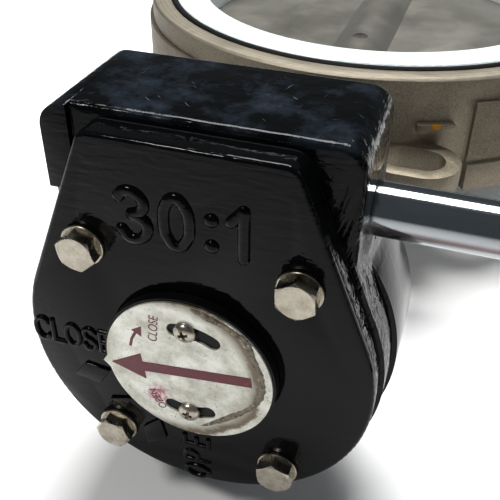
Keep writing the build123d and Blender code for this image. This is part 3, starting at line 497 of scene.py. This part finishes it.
def grow(bm, rim, move):
    """Extrudes an open rim and moves its new vertices."""
    made = bmesh.ops.extrude_edge_only(bm, edges=rim)["geom"]
    for vert in (g for g in made if isinstance(g, bmesh.types.BMVert)):
        vert.co = move(vert.co)
    return [g for g in made if isinstance(g, bmesh.types.BMEdge) and g.is_boundary]


def hexagon_reach(angle, flats):
    """How far a hexagon's side is from its middle, at this angle."""
    return flats / 2 / math.cos((angle + math.pi / 6) % (math.pi / 3) - math.pi / 6)


def bolt(flats, height, shank, length, turned, place):
    """A hexagon bolt with its seat at `place`, facing -Y."""
    bm = bmesh.new()
    face = flats * FACE_SHARE
    bmesh.ops.create_circle(bm, cap_ends=True, segments=60, radius=face)
    bmesh.ops.translate(bm, verts=bm.verts, vec=(0, 0, height))
    rim = [e for e in bm.edges if e.is_boundary]

    def to_hexagon(co):
        angle = math.atan2(co.y, co.x)
        reach = hexagon_reach(angle, flats)
        drop = (reach - face) * CHAMFER_SLOPE
        return Vector((reach * math.cos(angle), reach * math.sin(angle), height - drop))

    rim = grow(bm, rim, to_hexagon)
    rim = grow(bm, rim, lambda co: Vector((co.x, co.y, 0)))
    rim = grow(bm, rim, lambda co: co.normalized() * shank)
    rim = grow(bm, rim, lambda co: Vector((co.x, co.y, -length)))
    bmesh.ops.holes_fill(bm, edges=rim)
    bmesh.ops.recalc_face_normals(bm, faces=bm.faces)
    frame_of = Matrix.Translation(place) @ TO_FRONT @ Matrix.Rotation(turned, 4, "Z")
    bmesh.ops.transform(bm, matrix=frame_of, verts=bm.verts)
    return bm


print("a hexagon 13 mm across flats is", 2 * hexagon_reach(math.pi / 6, 13.0), "mm across corners")

# %% Helpers for turned rings and for repeated shapes
SEAM = 0.001 * MM   # vertices nearer than this are one


def turned_ring(profile, place, steps=64):
    """A ring turned from closed (radius, height) points, facing -Y at `place`."""
    bm = bmesh.new()
    verts = [bm.verts.new((r, 0, h)) for r, h in profile]
    edges = [bm.edges.new((a, b)) for a, b in zip(verts, verts[1:] + verts[:1])]
    bmesh.ops.spin(bm, geom=verts + edges, axis=(0, 0, 1), cent=(0, 0, 0), steps=steps,
                   angle=2 * math.pi, use_merge=True)
    bmesh.ops.remove_doubles(bm, verts=bm.verts, dist=SEAM)
    bmesh.ops.recalc_face_normals(bm, faces=bm.faces)
    bmesh.ops.transform(bm, matrix=Matrix.Translation(place) @ TO_FRONT, verts=bm.verts)
    return bm


def gather(parts):
    """Several bmeshes as one. The parts are freed."""
    whole = bmesh.new()
    for part in parts:
        mesh = bpy.data.meshes.new("part")
        part.to_mesh(mesh)
        part.free()
        whole.from_mesh(mesh)
        bpy.data.meshes.remove(mesh)
    return whole


print("rings are welded within", SEAM)

# %% Cover bolts
BOLT_FLATS = 13.0 * MM
BOLT_HEIGHT = WASHER_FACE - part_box("cover_bolts")[0].y
BOLT_SHANK = 4.0 * MM
BOLT_SEATS = [(x * MM, z * MM) for x, z in ((-38.4, 44.8), (38.4, 44.8), (-33.9, -44.8), (33.9, -44.8))]
BOLT_TURNS = [math.radians(a) for a in (12, 3, 22, 8)]   # where each bolt happened to stop
bolts = gather([bolt(BOLT_FLATS, BOLT_HEIGHT, BOLT_SHANK, SHANK_END - WASHER_FACE, a, (x, WASHER_FACE, z))
                for (x, z), a in zip(BOLT_SEATS, BOLT_TURNS)])
add_piece("cover_hex_bolts", bolts, bolt_steel, "valve", ["cover_bolts"], sharp=12.0)

# %% Cover washers
WASHER_OUTER = 8.0 * MM
WASHER_THICK = COVER_FACE - WASHER_FACE
WASHER_EDGE = 0.25 * MM
washer_profile = [
    (BOLT_SHANK, 0), (WASHER_OUTER - WASHER_EDGE, 0), (WASHER_OUTER, WASHER_EDGE),
    (WASHER_OUTER, WASHER_THICK - WASHER_EDGE), (WASHER_OUTER - WASHER_EDGE, WASHER_THICK),
    (BOLT_SHANK, WASHER_THICK)]
washers = gather([turned_ring(washer_profile, (x, COVER_FACE, z)) for x, z in BOLT_SEATS])
add_piece("cover_flat_washers", washers, bolt_steel, "valve", ["cover_washers"])

# %% [markdown]
# The rubber ring behind the liner swells when the liner is pressed in, and stands up in the gap at each face.
# It is a turned ring like the washers, with a rounded top and bottom, but its axis is the flow axis.

# %% Rubber ring behind the liner
RING_GAP = 0.05 * MM
RING_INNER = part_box("liner")[1].x + RING_GAP
RING_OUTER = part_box("backing_ring")[1].x - RING_GAP
# the ring's top stands 0.9 mm above the body's face, so the gap beside the liner shows black
RING_TOP = BODY_TOP + 0.9 * MM
RING_ROUND = 0.8 * MM
ring_profile = [(RING_INNER, -RING_TOP + RING_ROUND), (RING_INNER + RING_ROUND, -RING_TOP),
                (RING_OUTER - RING_ROUND, -RING_TOP), (RING_OUTER, -RING_TOP + RING_ROUND),
                (RING_OUTER, RING_TOP - RING_ROUND), (RING_OUTER - RING_ROUND, RING_TOP),
                (RING_INNER + RING_ROUND, RING_TOP), (RING_INNER, RING_TOP - RING_ROUND)]
ring = turned_ring(ring_profile, (0, 0, 0), steps=180)
bmesh.ops.rotate(ring, verts=ring.verts, cent=(0, 0, 0), matrix=Matrix.Rotation(-math.pi / 2, 3, "X"))
add_piece("liner_backing_rubber", ring, rubber, "valve", ["backing_ring"])

# %% [markdown]
# The legends are cast with the cover, and the paint rounds them: each stroke is a low ridge with a round end.
# A bezier line through a few points gives each stroke, a round bevel gives it width, and it is squashed flat.
# The marks are the gear ratio, the words for the two ends of travel, and three plain shapes.

# %% Letter strokes, as points in a box one wide and one high
SMOOTH, STRAIGHT = "AUTO", "VECTOR"
OVAL = [(0.5, 1), (0.87, 0.83), (1, 0.5), (0.87, 0.17), (0.5, 0), (0.13, 0.17), (0, 0.5), (0.13, 0.83)]
LETTERS = {
    "3": [(SMOOTH, False, [(0.0, 0.86), (0.2, 0.98), (0.52, 1), (0.88, 0.86), (0.88, 0.66), (0.45, 0.53)]),
          (SMOOTH, False, [(0.45, 0.53), (0.9, 0.42), (1, 0.2), (0.72, 0.02), (0.28, 0.01), (0.0, 0.16)])],
    "0": [(SMOOTH, True, OVAL)],
    "1": [(STRAIGHT, False, [(0, 0.74), (0.75, 1), (0.75, 0)])],
    "C": [(SMOOTH, False, [(1, 0.8), (0.8, 0.97), (0.5, 1), (0.12, 0.82), (0, 0.5), (0.12, 0.18), (0.5, 0),
                           (0.8, 0.03), (1, 0.2)])],
    "L": [(STRAIGHT, False, [(0, 1), (0, 0), (1, 0)])],
    "O": [(SMOOTH, True, OVAL)],
    "S": [(SMOOTH, False, [(0.95, 0.84), (0.7, 0.99), (0.35, 0.98), (0.06, 0.8), (0.22, 0.58), (0.75, 0.44),
                           (0.98, 0.22), (0.66, 0.01), (0.25, 0.02), (0.02, 0.18)])],
    "E": [(STRAIGHT, False, [(1, 1), (0, 1), (0, 0), (1, 0)]), (STRAIGHT, False, [(0, 0.5), (0.85, 0.5)])],
    "P": [(STRAIGHT, False, [(0, 0), (0, 1)]), (SMOOTH, False, [(0, 1), (0.6, 0.99), (0.95, 0.76), (0.6, 0.5),
                                                               (0, 0.5)])],
    "N": [(STRAIGHT, False, [(0, 0), (0, 1), (1, 0), (1, 1)])],
}
print("letters:", "".join(LETTERS))

# %% Helper for a raised letter
SUNK = 0.3 * MM   # how far a letter reaches into the cover


def letter(mark, corner, across, up, stroke, rise):
    """One raised letter on the cover: its lower left corner, and its width and height as directions in mm."""
    radius = stroke / 2 * MM
    curve = bpy.data.curves.new("stroke", "CURVE")
    curve.dimensions = "3D"
    curve.bevel_depth = radius
    curve.bevel_resolution = 4
    curve.resolution_u = 8
    ends, strokes = [], []
    for handle, closed, points in LETTERS[mark]:
        if handle == STRAIGHT:
            strokes += [(handle, closed, pair) for pair in zip(points, points[1:])]
        else:
            strokes.append((handle, closed, points))
    for handle, closed, points in strokes:
        spline = curve.splines.new("BEZIER")
        spline.bezier_points.add(len(points) - 1)
        spline.use_cyclic_u = closed
        places = [(Vector(corner) + Vector(across) * a + Vector(up) * b) * MM for a, b in points]
        for point, place in zip(spline.bezier_points, places):
            point.co = (place.x, 0, place.y)
            point.handle_left_type = point.handle_right_type = handle
        ends += [] if closed else [places[0], places[-1]]
    holder = bpy.data.objects.new("stroke", curve)
    bm = bmesh.new()
    line = bpy.data.meshes.new_from_object(holder)
    bm.from_mesh(line)
    for end in ends:
        place = Matrix.Translation((end.x, 0, end.y))
        bmesh.ops.create_uvsphere(bm, u_segments=16, v_segments=10, radius=radius, matrix=place)
    bpy.data.objects.remove(holder)
    bpy.data.curves.remove(curve)
    bpy.data.meshes.remove(line)
    bmesh.ops.scale(bm, verts=bm.verts, vec=(1, rise * MM / radius, 1))
    bmesh.ops.translate(bm, verts=bm.verts, vec=(0, COVER_FACE, 0))
    bmesh.ops.bisect_plane(bm, geom=bm.verts[:] + bm.edges[:] + bm.faces[:], clear_outer=True,
                           plane_co=(0, COVER_FACE + SUNK, 0), plane_no=(0, 1, 0))
    return bm


print("letters stand on the face at", COVER_FACE)

# %% Gear ratio
DIGIT_STROKE, DIGIT_RISE = 4.3, 1.5
ratio = [letter("3", (-23.0, 51.8), (9.3, 0), (0, 18.0), DIGIT_STROKE, DIGIT_RISE),
         letter("0", (-7.7, 51.8), (8.9, 0), (0, 18.6), DIGIT_STROKE, DIGIT_RISE),
         letter("1", (15.4, 52.2), (5.4, 0), (0, 18.0), DIGIT_STROKE, DIGIT_RISE)]
DOT_RADIUS, DOT_SQUASH, DOT_PLACE = 2.6 * MM, 0.65, 8.7 * MM
for height in (54.8, 64.7):
    dot = bmesh.new()
    bmesh.ops.create_uvsphere(dot, u_segments=24, v_segments=14, radius=DOT_RADIUS)
    bmesh.ops.scale(dot, verts=dot.verts, vec=(1, DOT_SQUASH, 1))
    bmesh.ops.translate(dot, verts=dot.verts, vec=(DOT_PLACE, COVER_FACE, height * MM))
    ratio.append(dot)
add_piece("gear_ratio_legend", gather(ratio), enamel, "valve")

# %% Words for the ends of travel
WORD_STROKE, WORD_RISE = 2.2, 1.15
closed_word = [letter(mark, (x, -5.3), (wide, 0), (0, 10.0), WORD_STROKE, WORD_RISE)
               for mark, x, wide in (("C", -64.8, 5.2), ("L", -57.4, 4.2), ("O", -51.9, 5.7),
                                     ("S", -44.3, 5.0), ("E", -37.2, 4.2))]
add_piece("closed_legend", gather(closed_word), enamel, "valve")
open_word = [letter(mark, (5.0, z), (0, wide), (-10.0, 0), WORD_STROKE, WORD_RISE)
             for mark, z, wide in (("O", -64.6, 6.0), ("P", -55.0, 5.4), ("E", -45.6, 4.8), ("N", -36.6, 5.2))]
add_piece("open_legend", gather(open_word), enamel, "valve")

# %% Travel marks
MARK_RISE, MARK_ROUND = 1.1, 0.45


def raised_shape(corners, rise):
    """A flat raised shape with soft edges, from its corners in mm."""
    bm = bmesh.new()
    verts = [bm.verts.new((x * MM, COVER_FACE, z * MM)) for x, z in corners]
    face = bm.faces.new(verts)
    wall = bmesh.ops.extrude_face_region(bm, geom=[face])["geom"]
    top = [g for g in wall if isinstance(g, bmesh.types.BMVert)]
    bmesh.ops.translate(bm, verts=top, vec=(0, -rise * MM, 0))
    bmesh.ops.recalc_face_normals(bm, faces=bm.faces)
    bmesh.ops.bevel(bm, geom=bm.edges[:], offset=MARK_ROUND * MM, offset_type="OFFSET", segments=3,
                    profile=0.5, affect="EDGES", clamp_overlap=True, material=-1)
    return bm


shapes = [raised_shape(corners, MARK_RISE) for corners in (
    [(-50.5, -21.2), (-45.0, -13.3), (-34.5, -14.3), (-39.6, -22.6)],
    [(-36.5, -30.2), (-26.5, -26.6), (-29.3, -33.5)],
    [(-22.7, -41.8), (-15.2, -34.8), (-12.6, -45.3), (-21.5, -51.9)])]
add_piece("travel_marks", gather(shapes), enamel, "valve")

# %% [markdown]
# The print on the plate is thin ink: a small curved arrow and the two words for the ends of travel.
# Text objects give the words, and a bent strip with a head gives the arrow.

# %% Printed words
INK = 0.08 * MM
CAPITAL_HEIGHT = 0.7   # a capital's height, as a share of the font's size
NARROW = 0.8


def ink_word(name, word, height, place, lean, material):
    """A word printed on the plate. The text becomes a mesh before it is placed."""
    text = bpy.data.curves.new(name, "FONT")
    text.body = word
    text.size = height * MM / CAPITAL_HEIGHT
    text.extrude = INK / 2
    text.align_x = "CENTER"
    text.align_y = "CENTER"
    holder = bpy.data.objects.new(name, text)
    mesh = bpy.data.meshes.new_from_object(holder)
    bpy.data.objects.remove(holder)
    bm = bmesh.new()
    bm.from_mesh(mesh)
    bpy.data.meshes.remove(mesh)
    bmesh.ops.remove_doubles(bm, verts=bm.verts, dist=SEAM)
    bmesh.ops.scale(bm, verts=bm.verts, vec=(NARROW, 1, 1))
    place = Matrix.Translation((place[0] * MM, PLATE_FACE - INK / 2, place[1] * MM))
    bmesh.ops.transform(bm, matrix=place @ TO_FRONT @ Matrix.Rotation(lean, 4, "Z"), verts=bm.verts)
    add_piece(name, bm, material, "stem_set")


ink_word("plate_word_close", "CLOSE", 3.6, (-12.1, 17.8), math.radians(84), red_print)
ink_word("plate_word_open", "OPEN", 3.4, (-12.6, -17.6), math.radians(118), red_print)

# %% Small printed arrow
ARROW_HALF_WIDTH = 0.55
bm = bmesh.new()
bent = [Vector((-21.9, 6.8)), Vector((-21.0, 10.6)), Vector((-19.2, 14.2))]
for first, second in zip(bent, bent[1:]):
    side = (second - first).orthogonal().normalized() * ARROW_HALF_WIDTH
    corners = [first + side, first - side, second - side, second + side]
    bm.faces.new([bm.verts.new((c.x * MM, PLATE_FACE - INK, c.y * MM)) for c in corners])
head = [Vector((-20.9, 14.9)), Vector((-16.8, 17.6)), Vector((-17.1, 12.6))]
bm.faces.new([bm.verts.new((c.x * MM, PLATE_FACE - INK, c.y * MM)) for c in head])
bmesh.ops.remove_doubles(bm, verts=bm.verts, dist=0.3 * MM)
bmesh.ops.recalc_face_normals(bm, faces=bm.faces)
wall = bmesh.ops.extrude_face_region(bm, geom=bm.faces[:])["geom"]
bmesh.ops.translate(bm, verts=[g for g in wall if isinstance(g, bmesh.types.BMVert)], vec=(0, INK, 0))
bmesh.ops.recalc_face_normals(bm, faces=bm.faces)
add_piece("plate_small_arrow", bm, red_print, "stem_set")

# %% [markdown]
# The clear film has lifted round the right of the plate, and its curled edge stands up as a brown ridge.
# A smooth line with a round bevel follows it, thicker and thinner by turns, and is flattened on the plate.

# %% Lifted edge of the film
CURL_ROUGHNESS = 0.3   # millimetres
CURL_SQUASH = 0.4
random.seed(7)
curled = bpy.data.curves.new("film_edge", "CURVE")
curled.dimensions = "3D"
curled.bevel_depth = 1.0 * MM
curled.bevel_resolution = 3
curled.resolution_u = 10
edge_path = [(2.5, 30.9), (4.4, 30.2), (9.3, 28.6), (16.4, 25.6), (21.6, 22.0), (25.2, 13.2), (28.2, 5.1),
             (27.4, -3.4), (24.0, -9.9), (16.1, -17.6), (4.7, -26.9)]
line = curled.splines.new("BEZIER")
line.bezier_points.add(len(edge_path) - 1)
for point, (x, z) in zip(line.bezier_points, edge_path):
    point.co = (x * MM, 0, z * MM)
    point.handle_left_type = point.handle_right_type = "AUTO"
    point.radius = random.uniform(0.8, 1.9)
line.bezier_points[0].radius = line.bezier_points[-1].radius = 0.35
holder = bpy.data.objects.new("film_edge", curled)
mesh = bpy.data.meshes.new_from_object(holder)
bpy.data.objects.remove(holder)
bm = bmesh.new()
bm.from_mesh(mesh)
bpy.data.meshes.remove(mesh)
bmesh.ops.holes_fill(bm, edges=[e for e in bm.edges if e.is_boundary])
for vert in bm.verts:
    vert.co += Vector([random.uniform(-CURL_ROUGHNESS, CURL_ROUGHNESS) * MM for _ in range(3)])
bmesh.ops.scale(bm, verts=bm.verts, vec=(1, CURL_SQUASH, 1))
bmesh.ops.translate(bm, verts=bm.verts, vec=(0, PLATE_FACE, 0))
bmesh.ops.recalc_face_normals(bm, faces=bm.faces)
add_piece("lifted_film_edge", bm, brown_film, "stem_set", sharp=60.0)

# %% [markdown]
# The plate is held by two cross-recess pan-head screws, which the slots let turn to set the pointer.
# Each head is a turned dome, and a cross of two tapered blades is cut from it with a boolean.

# %% Indicator screws
HEAD_RADIUS = 4.2 * MM
HEAD_TOP = PLATE_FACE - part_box("indicator_screws")[0].y
SCREW_LENGTH = 8 * MM
RECESS_LENGTH, RECESS_WIDTH, RECESS_DEPTH = 5.4 * MM, 1.5 * MM, 3.4 * MM
# the dome as shares of the head's radius and height, from its middle to its seat
DOME = [(0, 1), (0.45, 0.95), (0.78, 0.74), (0.97, 0.4), (1, 0.1), (1, 0.02), (0.45, 0.02)]


def cross_screw(place, turned):
    """A pan-head screw with its seat at `place`, facing -Y, with a cross cut into its head."""
    bm = bmesh.new()
    outline = [(r * HEAD_RADIUS, h * HEAD_TOP) for r, h in DOME]
    outline += [(outline[-1][0], -SCREW_LENGTH), (0, -SCREW_LENGTH)]
    verts = [bm.verts.new((r, 0, h)) for r, h in outline]
    edges = [bm.edges.new(pair) for pair in zip(verts, verts[1:])]
    bmesh.ops.spin(bm, geom=verts + edges, axis=(0, 0, 1), cent=(0, 0, 0), steps=40, angle=2 * math.pi,
                   use_merge=True)
    bmesh.ops.remove_doubles(bm, verts=bm.verts, dist=SEAM)
    bmesh.ops.recalc_face_normals(bm, faces=bm.faces)
    head_mesh = bpy.data.meshes.new("head")
    bm.to_mesh(head_mesh)
    bm.free()
    head = bpy.data.objects.new("head", head_mesh)
    blades = bmesh.new()
    for quarter in (0, math.pi / 2):
        made = bmesh.ops.create_cube(blades, size=1.0)["verts"]
        bmesh.ops.scale(blades, verts=made, vec=(RECESS_LENGTH, RECESS_WIDTH, RECESS_DEPTH))
        low = [v for v in made if v.co.z < 0]
        bmesh.ops.scale(blades, verts=low, vec=(0.45, 0.6, 1))
        bmesh.ops.rotate(blades, verts=made, cent=(0, 0, 0), matrix=Matrix.Rotation(quarter, 3, "Z"))
    bmesh.ops.translate(blades, verts=blades.verts, vec=(0, 0, HEAD_TOP))
    blade_mesh = bpy.data.meshes.new("blades")
    blades.to_mesh(blade_mesh)
    blades.free()
    cutter = bpy.data.objects.new("blades", blade_mesh)
    for item in (head, cutter):
        bpy.context.collection.objects.link(item)
    cut = head.modifiers.new("recess", "BOOLEAN")
    cut.object = cutter
    cut.operation = "DIFFERENCE"
    cut.solver = "EXACT"
    cut.use_self = True
    bpy.context.view_layer.update()
    shown = head.evaluated_get(bpy.context.evaluated_depsgraph_get())
    finished = bpy.data.meshes.new_from_object(shown)
    for item in (head, cutter):
        bpy.data.objects.remove(item)
    whole = bmesh.new()
    whole.from_mesh(finished)
    bpy.data.meshes.remove(finished)
    frame_of = Matrix.Translation(place) @ TO_FRONT @ Matrix.Rotation(turned, 4, "Z")
    bmesh.ops.transform(whole, matrix=frame_of, verts=whole.verts)
    return whole


# each screw: its height on the plate in millimetres, and how its cross is turned in degrees
SCREWS = ((20, 20), (-20, -12))
screws = gather([cross_screw((0, PLATE_FACE, z * MM), math.radians(a)) for z, a in SCREWS])
add_piece("plate_cross_screws", screws, bolt_steel, "stem_set", ["indicator_screws"])

# %% [markdown]
# The object stands on a plain white floor, which a single large face makes.
# It is a prop, so it is staged and is no part of the valve.

# %% Floor
FLOOR_REACH = 6.0   # metres from the middle to each side
# matt white paint, almost even
floor_paint = surface("white_floor", ("#f4f4f4", "#fafafa"), 0.0, (0.75, 0.85), 400, 30, 0.01)
bm = bmesh.new()
bmesh.ops.create_grid(bm, x_segments=1, y_segments=1, size=FLOOR_REACH)
bmesh.ops.translate(bm, verts=bm.verts, vec=(0, 0, cad_box[0][2]))
floor_mesh = bpy.data.meshes.new("floor")
bm.to_mesh(floor_mesh)
bm.free()
floor = bpy.data.objects.new("floor", floor_mesh)
bpy.context.collection.objects.link(floor)
floor_mesh.materials.append(floor_paint)
print("floor at", cad_box[0][2])

# %% [markdown]
# The surroundings are dim where they light the valve and bright where they are seen behind it.
# A Light Path node tells the two apart, so the black paint stays deep against a pale background.

# %% Surroundings
LIT_BY, SEEN_AS = 0.12, 0.95
world = bpy.data.worlds.new("world")
bpy.context.scene.world = world
world.use_nodes = True
backdrop = world.node_tree.nodes["Background"]
backdrop.inputs["Color"].default_value = srgb("#dfe8f2")
path = add_node(world, "ShaderNodeLightPath")
strength = add_node(world, RANGE, {"To Min": LIT_BY, "To Max": SEEN_AS}, Value=(path, "Is Camera Ray"))
world.node_tree.links.new(strength.outputs[0], backdrop.inputs["Strength"])
print("surroundings light with", LIT_BY, "and show as", SEEN_AS)

# %% [markdown]
# A small key lamp at the front left draws the highlights and the edges of the legends.
# A wide lamp over the floor behind the gearbox whitens it, and its narrow spread leaves the floor in front
# darker, because the gearbox's black face mirrors that floor. A weak lamp at the side lifts the right flank.

# %% Lamps


def softbox(name, place, aim, size, power, color=(1, 1, 1), spread=180):
    """A rectangular lamp that faces `aim`, with its size in metres and its spread in degrees."""
    data = bpy.data.lights.new(name, "AREA")
    data.spread = math.radians(spread)
    data.shape = "RECTANGLE"
    data.size, data.size_y = size
    data.energy = power
    data.color = color
    lamp = bpy.data.objects.new(name, data)
    bpy.context.collection.objects.link(lamp)
    lamp.location = place
    lamp.rotation_euler = (Vector(aim) - Vector(place)).to_track_quat("-Z", "Y").to_euler()
    print(name, "lamp:", power, "W")


softbox("key", place=(-0.6, -1.05, 1.4), aim=(0, -0.25, 0), size=(0.3, 0.24), power=12, color=(1.0, 0.98, 0.95))
softbox("overhead", place=(-0.1, 0.45, 1.7), aim=(0.0, 0.45, 0), size=(1.0, 0.8), power=22, spread=95)
softbox("side", place=(1.5, 0.1, 0.9), aim=(0.1, -0.25, 0), size=(0.4, 0.9), power=2.5)
